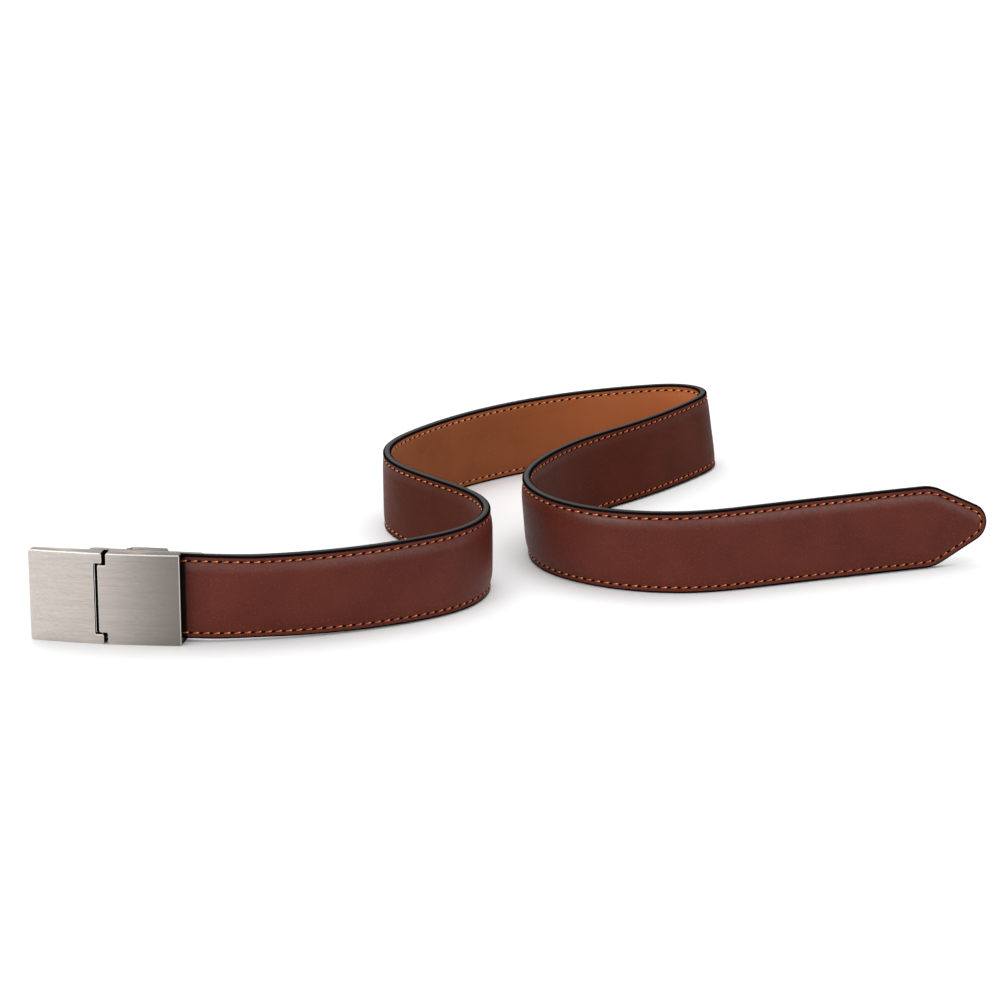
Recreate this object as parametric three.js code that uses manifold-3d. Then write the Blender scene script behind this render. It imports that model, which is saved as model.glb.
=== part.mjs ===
// Leather ratchet belt standing on its lower edge in a long S.
// Millimetres, +Z up, +X along the buckle from its free end to the strap.

import * as THREE from 'three';
import { mergeVertices } from 'three/addons/utils/BufferGeometryUtils.js';
import Module from 'manifold-3d';

const wasm = await Module();
wasm.setup();

// Strap
const strapLength = 862;
const strapWidth = 35;
const leather = 1.6;
const layerGap = 0.3;
const edgeRound = 0.6;
const joinGap = 0.3;
const tipLength = 24.7;
const noseRadius = 8.3;
const shoulderRadius = 18;
const easeLength = 24;

// Ratchet track on the inner side of the tail
const trackWidth = 13;
const trackGroove = 0.9;
const trackBase = 0.6;
const toothHeight = 0.6;
const toothPitch = 6.35;
const toothCount = 25;
const trackFromTip = 36;

// Buckle face
const faceLength = 61;
const faceBow = 1.74;
const skin = 1.4;
const wall = 0.95;
const rimDepth = 5.2;
const cornerRound = 1.6;
const leftBody = 26.8;
const earReach = 3.4;
const earHeight = 4.1;
const seamGap = 1.5;
const tongueGap = 0.7;
const knuckleDepth = 3.1;

// Inside of the buckle
const clearance = 0.3;
const tunnel = 4.15;
const slide = 0.1;
const pinRadius = 0.6;
const pinClearance = 0.2;
const hubWall = 0.7;
const cheekStart = 24;
const cheekBack = 7.4;
const strapInside = 19;
const bridgeWidth = 6;
const postWidth = 1.2;
const fingerReach = 8.5;
const fingerWidth = 1.8;

// Lever and clamp
const leverPlate = 1.2;
const pawlWidth = 10;
const pawlReach = 0.4;
const pawlThick = 1.2;
const tabLength = 14.5;
const tabWidth = 2.8;
const tabSlant = 1.2;
const flapPlate = 1.0;
const biteHeight = 0.3;
const biteCount = 5;
const flapMargin = 1.5;

// Each stretch of the strap from its end in the buckle to its tip:
// name, share of the strap's length, turn in degrees to the left, and
// lean of the top edge to the left at its start as a share of the width.
const stretches = [
  ['held in the buckle', 0.026, 0, 0],
  ['leaving the buckle', 0.018, 13.5, 0],
  ['first run', 0.103, 31, -0.085],
  ['first bend', 0.084, 95, 0],
  ['short back run', 0.047, -5, 0],
  ['second bend', 0.058, -66, 0.07],
  ['long back run', 0.184, -50, -0.045],
  ['hairpin', 0.031, -130, -0.015],
  ['return run', 0.090, -16, -0.17],
  ['easing run', 0.075, 27, -0.085],
  ['third bend', 0.076, 77, -0.07],
  ['third bend, opening', 0.072, 53, -0.115],
  ['tail', 0.099, -2, 0.045],
  ['point', 0.037, 0, 0.115],
];
const endLean = 0.115;
const liftShare = 0.22;
const frontJoinShare = 0.26;
const tailJoinShare = 0.64;

// Sizes that follow from the named ones
const strapThick = 2 * leather + layerGap;
const buckleHeight = strapWidth + 2 * (clearance + wall);
const strapLift = clearance + wall;
const bowRadius = (faceLength * faceLength / 4 + faceBow * faceBow) / (2 * faceBow);
const tunnelFront = faceBow + skin + 2 * slide;
const strapFront = tunnelFront + tunnel;
const strapMiddle = strapFront + strapThick / 2;
const strapBack = strapFront + strapThick;
const earEnd = leftBody + earReach;
const tongueEnd = leftBody + seamGap;
const ledge = earEnd + seamGap;
const strapEnd = faceLength - strapInside;
const holeRadius = pinRadius + pinClearance;
const hubRadius = holeRadius + hubWall;
const hingeX = (tongueEnd + earEnd) / 2;
const hingeY = knuckleDepth / 2 + 0.1;
const cheekFront = rimDepth + clearance;
const flapFront = strapBack + clearance;
const flapBack = flapFront + biteHeight + flapPlate;
const leverX = cheekStart + 3.5;
const leverY = strapMiddle + 0.8;
const bridgeFront = leverY + hubRadius + clearance;
const frameBack = bridgeFront + wall;
const flapPinX = faceLength - postWidth - clearance - hubRadius;
const flapPinY = flapBack + pinClearance;
const postBack = flapPinY + hubRadius;

const deg = Math.PI / 180;

// Solids
function solid(geometry) {
  const g = geometry.clone();
  g.deleteAttribute('normal');
  g.deleteAttribute('uv');
  const m = mergeVertices(g, 1e-4);
  return new wasm.Manifold(new wasm.Mesh({
    numProp: 3,
    vertProperties: new Float32Array(m.attributes.position.array),
    triVerts: new Uint32Array(m.index.array),
  }));
}

function prism(points, z0, z1) {
  const shape = new THREE.Shape(points.map(([x, y]) => new THREE.Vector2(x, y)));
  const g = new THREE.ExtrudeGeometry(shape, { depth: z1 - z0, bevelEnabled: false });
  g.translate(0, 0, z0);
  return solid(g);
}

function block(x0, x1, y0, y1, z0, z1) {
  const g = new THREE.BoxGeometry(x1 - x0, y1 - y0, z1 - z0);
  g.translate((x0 + x1) / 2, (y0 + y1) / 2, (z0 + z1) / 2);
  return solid(g);
}

function rod(x, y, radius, z0, z1, sides = 20) {
  const g = new THREE.CylinderGeometry(radius, radius, z1 - z0, sides);
  g.rotateX(Math.PI / 2);
  g.translate(x, y, (z0 + z1) / 2);
  return solid(g);
}

const join = (...parts) => parts.reduce((a, b) => a.add(b));
const cut = (body, ...tools) => tools.reduce((a, b) => a.subtract(b), body);

function toGeometry(body) {
  const mesh = body.getMesh();
  const n = mesh.numProp;
  const positions = [];
  for (let i = 0; i < mesh.vertProperties.length; i += n) {
    positions.push(mesh.vertProperties[i], mesh.vertProperties[i + 1], mesh.vertProperties[i + 2]);
  }
  const g = new THREE.BufferGeometry();
  g.setAttribute('position', new THREE.Float32BufferAttribute(positions, 3));
  g.setIndex(Array.from(mesh.triVerts));
  g.computeVertexNormals();
  return g;
}

// Route of the strap's middle line
const starts = [0];
const headings = [0];
for (const [, share, turn] of stretches) {
  starts.push(starts[starts.length - 1] + share * strapLength);
  headings.push(headings[headings.length - 1] + turn * deg);
}
const leans = stretches.map((row) => row[3] * strapWidth).concat(endLean * strapWidth);

function along(values, s) {
  let i = 0;
  while (i < starts.length - 2 && s > starts[i + 1]) i += 1;
  const t = Math.min(1, Math.max(0, (s - starts[i]) / (starts[i + 1] - starts[i])));
  return values[i] + (values[i + 1] - values[i]) * t;
}

function eased(values, s, width) {
  const count = 12;
  let sum = 0;
  for (let i = 0; i <= count; i += 1) sum += along(values, s + width * (i / count - 0.5));
  return sum / (count + 1);
}

const routeStep = 1;
const route = [];
{
  let x = strapEnd;
  let y = strapMiddle;
  for (let s = 0; s <= strapLength + routeStep; s += routeStep) {
    const h = eased(headings, s, easeLength);
    route.push([x, y, h]);
    const next = eased(headings, s + routeStep, easeLength);
    x += Math.cos((h + next) / 2) * routeStep;
    y += Math.sin((h + next) / 2) * routeStep;
  }
}

// Point of the strap: s along it, o to the left of its middle, w up its width
function strapPoint(s, o, w) {
  const i = Math.min(route.length - 2, Math.max(0, Math.floor(s / routeStep)));
  const t = s / routeStep - i;
  const [x0, y0, h0] = route[i];
  const [x1, y1, h1] = route[i + 1];
  const h = h0 + (h1 - h0) * t;
  const inside = starts[1];
  const tilt = s <= inside ? 0 : Math.asin(eased(leans, s, easeLength) / strapWidth)
    * Math.min(1, (s - inside) / easeLength);
  const reach = liftShare * strapLength;
  const lift = strapLift * (1 - Math.min(1, Math.max(0, (s - inside) / reach))) ** 2;
  const side = o * Math.cos(tilt) + (w - strapWidth / 2) * Math.sin(tilt);
  return new THREE.Vector3(
    x0 + (x1 - x0) * t - Math.sin(h) * side,
    y0 + (y1 - y0) * t + Math.cos(h) * side,
    lift + w * Math.cos(tilt) - o * Math.sin(tilt) + strapThick / 2 * Math.abs(Math.sin(tilt)),
  );
}

// Slope of the point's straight sides, which touch the nose and end in rounded shoulders
const tipReach = Math.hypot(strapWidth / 2, tipLength - noseRadius);
const tipSlope = Math.asin(strapWidth / 2 / tipReach) - Math.asin(noseRadius / tipReach);
const noseTouch = noseRadius * (1 - Math.sin(tipSlope));
const shoulderEnd = tipLength + shoulderRadius * Math.tan(tipSlope / 2);
const shoulderStart = shoulderEnd - shoulderRadius * Math.sin(tipSlope);

// Half of the strap's width at s, less in the point
function halfWidth(s) {
  const d = strapLength - s;
  const half = strapWidth / 2;
  if (d >= shoulderEnd) return half;
  if (d <= noseTouch) return Math.sqrt(Math.max(0, noseRadius ** 2 - (noseRadius - d) ** 2));
  if (d >= shoulderStart) return half - shoulderRadius + Math.sqrt(shoulderRadius ** 2 - (shoulderEnd - d) ** 2);
  return half - (tipLength - d) * Math.tan(tipSlope);
}

const noseCut = 0.15;
const lastPlace = strapLength - noseCut;
const frontJoin = frontJoinShare * strapLength;
const tailJoin = tailJoinShare * strapLength;
const trackLength = toothPitch * toothCount;
const trackEnd = strapLength - trackFromTip;
const trackStart = trackEnd - trackLength;

// Stations shared by every layer, so that the layers stay parallel
const places = [0];
{
  const point = strapLength - shoulderEnd;
  const fixed = [
    frontJoin - joinGap / 2, frontJoin + joinGap / 2, tailJoin - joinGap / 2, tailJoin + joinGap / 2,
    trackStart - clearance, trackEnd + clearance, point, lastPlace,
  ].sort((a, b) => a - b);
  for (const end of fixed) {
    let s = places[places.length - 1];
    while (s < end - 1e-6) {
      const turn = Math.abs(eased(headings, s + 1, easeLength) - eased(headings, s, easeLength)) / deg;
      let step = Math.min(9, 8 / Math.max(turn, 0.01));
      if (s >= point - 1e-6) step = Math.max(0.35, Math.min(4, (strapLength - s) * 0.4));
      s = end - s < step * 1.3 ? end : s + step;
      places.push(s);
    }
  }
}
const stations = (from, to) => places.filter((s) => s >= from - 1e-6 && s <= to + 1e-6);

// Closed strip along the strap through the same outline at every station
function strip(marks, outline, mirrored = false) {
  const positions = [];
  const index = [];
  let count = 0;
  for (const s of marks) {
    const ring = outline(s);
    count = ring.length;
    for (const [o, w] of ring) positions.push(...strapPoint(s, o, w).toArray());
  }
  const last = marks.length - 1;
  for (let i = 0; i < last; i += 1) {
    for (let j = 0; j < count; j += 1) {
      const a = i * count + j;
      const b = i * count + (j + 1) % count;
      if (mirrored) index.push(a, b, b + count, a, b + count, a + count);
      else index.push(a, b, a + count, b, b + count, a + count);
    }
  }
  for (let j = 1; j < count - 1; j += 1) {
    index.push(0, j + 1, j);
    index.push(last * count, last * count + j, last * count + j + 1);
  }
  const g = new THREE.BufferGeometry();
  g.setAttribute('position', new THREE.Float32BufferAttribute(positions, 3));
  g.setIndex(index);
  const body = new wasm.Manifold(new wasm.Mesh({
    numProp: 3,
    vertProperties: new Float32Array(g.attributes.position.array),
    triVerts: new Uint32Array(index),
  }));
  return body;
}

// One leather layer, its outer corners eased; side is 1 for left, -1 for right
function layer(from, to, side) {
  return strip(stations(from, to), (s) => {
    const half = halfWidth(s);
    const round = Math.min(edgeRound, half * 0.4);
    const low = strapWidth / 2 - half;
    const high = strapWidth / 2 + half;
    const inner = layerGap / 2;
    const outer = strapThick / 2;
    const ring = [
      [inner, low], [outer - round, low], [outer, low + round],
      [outer, high - round], [outer - round, high], [inner, high],
    ];
    return side > 0 ? ring : ring.map(([o, w]) => [-o, w]).reverse();
  }, side < 0);
}

const grooveFloor = strapThick / 2 - trackGroove;
const trackLow = (strapWidth - trackWidth) / 2;
const trackHigh = (strapWidth + trackWidth) / 2;

const groove = strip(stations(trackStart - clearance, trackEnd + clearance), () => [
  [grooveFloor, trackLow - clearance], [strapThick, trackLow - clearance],
  [strapThick, trackHigh + clearance], [grooveFloor, trackHigh + clearance],
]);

// The track's base clears the groove floor and its teeth stand proud of the leather
const trackSections = [];
for (let i = 0; i < toothCount; i += 1) {
  const s = trackStart + i * toothPitch;
  trackSections.push([s + 0.01, 0], [s + toothPitch * 0.85, 1], [s + toothPitch - 0.35, 0]);
}
trackSections.push([trackEnd, 0]);
const toothAt = new Map(trackSections);
const track = strip(trackSections.map(([s]) => s), (s) => {
  const under = grooveFloor + clearance;
  const over = under + trackBase + toothHeight * toothAt.get(s);
  return [[under, trackLow], [over, trackLow], [over, trackHigh], [under, trackHigh]];
});

// Front face of the buckle, bowed towards the viewer
const faceY = (x) => bowRadius - Math.sqrt(bowRadius ** 2 - (x - faceLength / 2) ** 2);

function bowed(x0, x1, front, back) {
  const steps = Math.max(2, Math.ceil((x1 - x0) / 6));
  const points = [];
  for (let i = 0; i <= steps; i += 1) {
    const x = x0 + (x1 - x0) * i / steps;
    points.push([x, front(x)]);
  }
  if (typeof back === 'number') points.push([x1, back], [x0, back]);
  else for (let i = steps; i >= 0; i -= 1) {
    const x = x0 + (x1 - x0) * i / steps;
    points.push([x, back(x)]);
  }
  return points;
}

const backOfSkin = (x) => faceY(x) + skin;

// Shell of the face between two places: skin in front, rims above and below
function shell(x0, x1) {
  return cut(
    prism(bowed(x0, x1, faceY, rimDepth), 0, buckleHeight),
    prism(bowed(x0 - 1, x1 + 1, backOfSkin, rimDepth + 1), wall, buckleHeight - wall),
  );
}

function knuckle(x0, x1, z0, z1) {
  return prism(bowed(x0, x1, faceY, knuckleDepth), z0, z1);
}

function cornerCut(x, z, dx, dz) {
  const r = cornerRound;
  const shape = new THREE.Shape();
  shape.moveTo(-1, -1);
  shape.lineTo(r, -1);
  shape.lineTo(r, 0);
  shape.absarc(r, r, r, -Math.PI / 2, -Math.PI, true);
  shape.lineTo(-1, r);
  shape.closePath();
  const g = new THREE.ExtrudeGeometry(shape, { depth: rimDepth + 4, bevelEnabled: false, curveSegments: 6 });
  g.rotateX(Math.PI / 2);
  g.translate(0, rimDepth + 2, 0);
  const body = solid(g);
  const turned = dx * dz < 0 ? body.mirror([dx < 0 ? 1 : 0, 0, dz < 0 ? 1 : 0]) : body;
  return turned.translate([x, 0, z]);
}

const pinHole = rod(hingeX, hingeY, holeRadius, 0.7, buckleHeight - 0.7);

const leftPlate = cut(
  join(
    cut(shell(0, earEnd), block(leftBody, earEnd + 1, -1, rimDepth + 1, earHeight, buckleHeight - earHeight)),
    knuckle(leftBody, earEnd, 0, earHeight),
    knuckle(leftBody, earEnd, buckleHeight - earHeight, buckleHeight),
  ),
  pinHole,
  cornerCut(0, 0, 1, 1),
  cornerCut(0, buckleHeight, 1, -1),
);

const tongueLow = earHeight + tongueGap;
const tongueHigh = buckleHeight - tongueLow;
const rightPlate = cut(
  join(
    cut(
      shell(tongueEnd, faceLength),
      block(tongueEnd - 1, ledge, -1, rimDepth + 1, -1, tongueLow),
      block(tongueEnd - 1, ledge, -1, rimDepth + 1, tongueHigh, buckleHeight + 1),
    ),
    knuckle(tongueEnd, ledge - 0.3, tongueLow, tongueHigh),
  ),
  rod(hingeX, hingeY, holeRadius, tongueLow - 1, tongueHigh + 1),
);

const hingePin = rod(hingeX, hingeY, pinRadius, 1, buckleHeight - 1, 16);

// Frame behind the face: two cheeks, a bridge, a rear post and a finger over the strap
const lugTop = buckleHeight - 1.6;
const lugLow = lugTop - wall;
const lugFront = strapFront + slide;
const postTop = buckleHeight - 2.6;
const bridgeEnd = cheekStart + bridgeWidth;
const frame = cut(
  join(
    block(cheekStart, faceLength, cheekFront, postBack, 0, wall),
    block(cheekStart, faceLength, cheekFront, cheekBack, buckleHeight - wall, buckleHeight),
    block(cheekStart, bridgeEnd, cheekBack - wall, lugFront + wall, buckleHeight - wall, buckleHeight - wall / 2),
    block(cheekStart, bridgeEnd, lugFront, lugFront + wall, lugLow, buckleHeight - wall / 2),
    block(cheekStart, bridgeEnd, lugFront, frameBack, lugLow, lugTop),
    block(cheekStart, bridgeEnd, bridgeFront, frameBack, 0, lugTop),
    block(faceLength - postWidth, faceLength, flapFront, postBack, 0, postTop),
    block(flapPinX - hubRadius, faceLength, flapPinY - hubRadius, postBack, postTop - wall, postTop),
    prism([
      [faceLength - 1, cheekBack - fingerWidth], [faceLength + fingerReach - fingerWidth / 2, cheekBack - fingerWidth],
      [faceLength + fingerReach - fingerWidth / 6, cheekBack - fingerWidth * 0.75],
      [faceLength + fingerReach, cheekBack - fingerWidth / 2],
      [faceLength + fingerReach - fingerWidth / 6, cheekBack - fingerWidth / 4],
      [faceLength + fingerReach - fingerWidth / 2, cheekBack], [faceLength - 1, cheekBack],
    ], buckleHeight - wall, buckleHeight),
  ),
  rod(leverX, leverY, holeRadius, 0.45, lugTop - 0.3),
  rod(flapPinX, flapPinY, holeRadius, 0.45, postTop - 0.3),
);

// Release lever: a tall plate with a pawl in front and a thumb tab above the strap
const leverLow = wall + clearance;
const leverHigh = lugLow - clearance;
const plateFront = leverY - leverPlate / 2;
const webRight = strapEnd - 0.4;
const webLeft = webRight - 3.6;
const pawlX = webLeft - 1;
const tabFront = cheekBack + 2 * clearance;
const middle = buckleHeight / 2;
const tabLeft = webRight - 0.7;
const lever = cut(
  join(
    rod(leverX, leverY, hubRadius, leverLow, leverHigh),
    block(leverX, webRight, plateFront, plateFront + leverPlate, leverLow + 3, leverHigh - 1),
    prism([
      [pawlX - pawlThick, plateFront + 0.2], [pawlX - pawlThick * 0.2, strapFront - pawlReach],
      [pawlX, strapFront - pawlReach], [pawlX, plateFront + 0.2],
    ], middle - pawlWidth / 2, middle + pawlWidth / 2),
    block(webLeft, webRight, plateFront, plateFront + leverPlate, leverHigh - 6, buckleHeight - wall / 2),
    prism([
      [webLeft + 1.6, plateFront], [tabLeft, tabFront], [tabLeft + tabLength, tabFront],
      [tabLeft + tabLength - tabSlant, tabFront + tabWidth], [webLeft + 1.6 + tabSlant, tabFront + tabWidth],
      [webLeft + 1.6, plateFront + leverPlate],
    ], buckleHeight - wall, buckleHeight),
  ),
  rod(leverX, leverY, holeRadius, 0, buckleHeight),
);
const leverPin = rod(leverX, leverY, pinRadius, 0.6, lugTop - 0.5, 16);

// Clamp flap behind the strap's end, with a row of biting ridges
const flapLow = wall + flapMargin;
const flapHigh = postTop - wall - clearance;
const flapLeft = strapEnd + clearance;
const bitePitch = (flapPinX - hubRadius - flapLeft) / biteCount;
const flapOutline = [[flapPinX, flapFront + biteHeight]];
flapOutline.push([flapPinX, flapBack], [flapLeft, flapBack], [flapLeft, flapFront + biteHeight]);
for (let i = 0; i < biteCount; i += 1) {
  const x = flapLeft + i * bitePitch;
  flapOutline.push([x + bitePitch * 0.25, flapFront], [x + bitePitch * 0.5, flapFront + biteHeight]);
}
const flap = cut(
  join(
    prism(flapOutline, flapLow, flapHigh),
    rod(flapPinX, flapPinY, hubRadius - 0.1, flapLow, flapHigh),
  ),
  rod(flapPinX, flapPinY, holeRadius, 0, buckleHeight),
);
const flapPin = rod(flapPinX, flapPinY, pinRadius, 0.6, postTop - 0.5, 16);

// Looks
const look = (color, roughness, metalness) => new THREE.MeshStandardMaterial({ color, roughness, metalness });
const brown = look(0x68382e, 0.55, 0);
const tan = look(0xa55f32, 0.6, 0);
const black = look(0x18181a, 0.5, 0);
const nickel = look(0xb9b4af, 0.35, 1);
const steel = look(0x8f8f90, 0.4, 1);

const pieces = [
  ['strap_front_leather', layer(0, frontJoin - joinGap / 2, -1), brown],
  ['strap_tan_panel', layer(frontJoin + joinGap / 2, tailJoin - joinGap / 2, -1), tan],
  ['strap_tail_leather', layer(tailJoin + joinGap / 2, lastPlace, -1), brown],
  ['strap_inner_leather', cut(layer(0, lastPlace, 1), groove), brown],
  ['ratchet_track', track, black],
  ['buckle_frame', frame, nickel],
  ['face_plate_left', leftPlate, nickel],
  ['face_plate_right', rightPlate, nickel],
  ['face_hinge_pin', hingePin, steel],
  ['release_lever', lever, nickel],
  ['lever_pin', leverPin, steel],
  ['clamp_flap', flap, nickel],
  ['clamp_pin', flapPin, steel],
];

const belt = new THREE.Group();
belt.name = 'ratchet_belt';
for (const [name, body, material] of pieces) {
  const mesh = new THREE.Mesh(toGeometry(body), material);
  mesh.name = name;
  belt.add(mesh);
}

// Origin under the middle of the belt's box
const extent = new THREE.Box3().setFromObject(belt);
const centre = extent.getCenter(new THREE.Vector3());
for (const mesh of belt.children) mesh.geometry.translate(-centre.x, -centre.y, -extent.min.z);

export default belt;
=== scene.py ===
"""Looks of a leather ratchet belt that stands on its lower edge in a long S.

Sizes are in millimetres in the buckle's own axes: x runs from the buckle's free end to the strap,
y away from the viewer from the front of the face, and z up from the floor. On the strap, s runs
along it from its end in the buckle, o is to the left of its middle, and w is up from its middle
line. A mesh is worked in millimetres and put in metres, in the frame of the solids, at the end.
"""

import logging
import math
import random
from dataclasses import dataclass, field
from enum import Enum
from typing import Callable, Iterable, Sequence

import bmesh
import bpy
from mathutils import Matrix, Vector


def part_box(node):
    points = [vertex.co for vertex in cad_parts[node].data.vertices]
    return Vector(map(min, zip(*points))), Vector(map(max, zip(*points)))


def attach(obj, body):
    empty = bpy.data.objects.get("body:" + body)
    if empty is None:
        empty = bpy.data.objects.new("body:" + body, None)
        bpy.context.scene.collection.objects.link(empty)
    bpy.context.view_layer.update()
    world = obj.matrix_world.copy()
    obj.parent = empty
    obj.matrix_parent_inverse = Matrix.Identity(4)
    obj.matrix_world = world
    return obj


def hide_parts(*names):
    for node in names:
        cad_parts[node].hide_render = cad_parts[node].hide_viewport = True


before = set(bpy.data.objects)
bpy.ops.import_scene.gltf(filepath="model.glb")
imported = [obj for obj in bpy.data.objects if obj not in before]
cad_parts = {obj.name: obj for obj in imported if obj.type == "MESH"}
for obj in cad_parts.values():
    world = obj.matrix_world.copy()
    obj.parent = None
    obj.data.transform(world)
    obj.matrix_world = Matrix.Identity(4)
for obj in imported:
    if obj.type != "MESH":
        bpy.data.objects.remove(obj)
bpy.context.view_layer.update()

MM = 0.001
LOG = logging.getLogger("ratchet_belt")

Colour = tuple[float, float, float, float]
Point = tuple[float, float, float]
Span = tuple[float, float]

# Distance in millimetres below which two places count as one
NEAR = 1e-4
# Angle in degrees from which an edge of the metal stays sharp
METAL_CREASE = 34.0


class Body(Enum):
    """Moving bodies of the belt."""

    BELT = "belt"
    FACE = "face"
    LEVER = "lever"
    CLAMP = "clamp"


class Slot(Enum):
    """Material slots of the record."""

    BROWN = "brown_leather"
    TAN = "tan_leather"
    TRACK = "track_plastic"
    NICKEL = "satin_nickel"


class Side(Enum):
    """Sides of the strap, with the sign of o there."""

    LEFT = 1
    RIGHT = -1


def tint(red: int, green: int, blue: int) -> Colour:
    """Turns a colour as a screen shows it into the linear colour of a shader.

    Args:
        red: Red from 0 to 255.
        green: Green from 0 to 255.
        blue: Blue from 0 to 255.

    Returns:
        The linear colour with a full alpha.
    """
    linear = []
    for level in (red, green, blue):
        c = level / 255
        linear.append(c / 12.92 if c <= 0.04045 else ((c + 0.055) / 1.055) ** 2.4)
    return (linear[0], linear[1], linear[2], 1.0)


def clamped(value: float) -> float:
    """Keeps a value between 0 and 1."""
    return min(1.0, max(0.0, value))


class Wire:
    """Shader socket that Python's operators extend with Math nodes."""

    def __init__(self, graph: "Graph", socket: bpy.types.NodeSocket) -> None:
        """Wraps a socket of a graph."""
        self.graph = graph
        self.socket = socket

    def math(self, operation: str, *others: "Wire | float") -> "Wire":
        """Adds a Math node with this as its first input and the others after it."""
        inputs = dict(enumerate((self, *others)))
        return self.graph.node("ShaderNodeMath", {"operation": operation}, inputs)

    def __add__(self, other: "Wire | float") -> "Wire":
        """Adds a value."""
        return self.math("ADD", other)

    def __radd__(self, other: float) -> "Wire":
        """Adds this to a number."""
        return self.math("ADD", other)

    def __sub__(self, other: "Wire | float") -> "Wire":
        """Takes a value away."""
        return self.math("SUBTRACT", other)

    def __rsub__(self, other: float) -> "Wire":
        """Takes this away from a number."""
        return self.math("MULTIPLY", -1.0).math("ADD", other)

    def __mul__(self, other: "Wire | float") -> "Wire":
        """Multiplies by a value."""
        return self.math("MULTIPLY", other)

    def __rmul__(self, other: float) -> "Wire":
        """Multiplies a number by this."""
        return self.math("MULTIPLY", other)

    def span(self, low: float, high: float) -> "Wire":
        """Rises smoothly from 0 to 1 between two lengths in millimetres."""
        return self.ramp(low * MM, high * MM)

    def ramp(self, low: float, high: float) -> "Wire":
        """Rises smoothly from 0 where this is low to 1 where it is high.

        Args:
            low: The value at which the result is 0.
            high: The value at which the result is 1.

        Returns:
            The smooth step.
        """
        settings = {"interpolation_type": "SMOOTHSTEP"}
        inputs = {0: self, 1: low, 2: high, 3: 0.0, 4: 1.0}
        return self.graph.node("ShaderNodeMapRange", settings, inputs)


class Graph:
    """Node tree of one material or of the sky."""

    def __init__(self, owner: "bpy.types.Material | bpy.types.World") -> None:
        """Empties the owner's node tree.

        Args:
            owner: The material or the world.
        """
        self.owner = owner
        self.owner.use_nodes = True
        self.tree = self.owner.node_tree
        self.tree.nodes.clear()

    def node(
        self,
        kind: str,
        settings: dict[str, object] | None = None,
        inputs: dict[int | str, object] | None = None,
        output: int | str = 0,
    ) -> Wire:
        """Adds one node.

        Args:
            kind: The node's type.
            settings: Its properties.
            inputs: Values or wires for its sockets, by place or name.
            output: The output that is wanted.

        Returns:
            That output.
        """
        made = self.tree.nodes.new(kind)
        for key, value in (settings or {}).items():
            setattr(made, key, value)
        for key, value in (inputs or {}).items():
            if isinstance(value, Wire):
                self.tree.links.new(value.socket, made.inputs[key])
            else:
                made.inputs[key].default_value = value
        return Wire(self, made.outputs[output])

    def attribute(self, name: str, output: str = "Vector") -> Wire:
        """Reads an attribute of the mesh."""
        return self.node("ShaderNodeAttribute", {"attribute_name": name}, output=output)

    def here(self, stretch: Vector | None = None) -> Wire:
        """Reads the place on the object, stretched if a scale is given.

        Args:
            stretch: Scale along each axis.

        Returns:
            The place as a vector.
        """
        place = self.node("ShaderNodeTexCoord", output="Object")
        if stretch is None:
            return place
        return self.node("ShaderNodeMapping", inputs={"Vector": place, "Scale": stretch})

    def noise(self, where: Wire, size: float, detail: float = 2.0) -> Wire:
        """Adds a noise from 0 to 1, read at a place, with blotches of that size in millimetres."""
        inputs = {"Vector": where, "Scale": 1 / (size * MM), "Detail": detail}
        return self.node("ShaderNodeTexNoise", inputs=inputs)

    def cells(self, where: Wire, size: float) -> Wire:
        """Adds the distance from the middles of cells of that size in millimetres."""
        inputs = {"Vector": where, "Scale": 1 / (size * MM)}
        return self.node("ShaderNodeTexVoronoi", inputs=inputs)

    def mix(self, share: Wire | float, first: object, second: object) -> Wire:
        """Mixes two colours by the share of the second one."""
        inputs = {0: share, 6: first, 7: second}
        return self.node("ShaderNodeMix", {"data_type": "RGBA"}, inputs, output=2)

    def bump(self, height: Wire, depth: float, strength: float = 1.0) -> Wire:
        """Turns a height into a normal, where a height of 1 is that depth in millimetres."""
        inputs = {"Height": height, "Distance": depth * MM, "Strength": strength}
        return self.node("ShaderNodeBump", inputs=inputs)

    def axis(self, vector: Wire, place: int) -> Wire:
        """Reads one number of a vector, 0 for x, 1 for y and 2 for z."""
        return self.node("ShaderNodeSeparateXYZ", inputs={0: vector}, output=place)

    def surface(self, shader: Wire) -> "bpy.types.Material | bpy.types.World":
        """Links a shader to the owner's surface.

        Args:
            shader: The shader.

        Returns:
            The owner.
        """
        sky = isinstance(self.owner, bpy.types.World)
        made = self.tree.nodes.new("ShaderNodeOutputWorld" if sky else "ShaderNodeOutputMaterial")
        self.tree.links.new(shader.socket, made.inputs["Surface"])
        return self.owner

    def finish(self, **inputs: object) -> bpy.types.Material:
        """Ends in a Principled shader, whose sockets have _ for the spaces in their names."""
        sockets = {name.replace("_", " "): value for name, value in inputs.items()}
        return self.surface(self.node("ShaderNodeBsdfPrincipled", inputs=sockets))


def paint(name: str) -> Graph:
    """Starts a new material of that name."""
    return Graph(bpy.data.materials.new(name))


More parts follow.
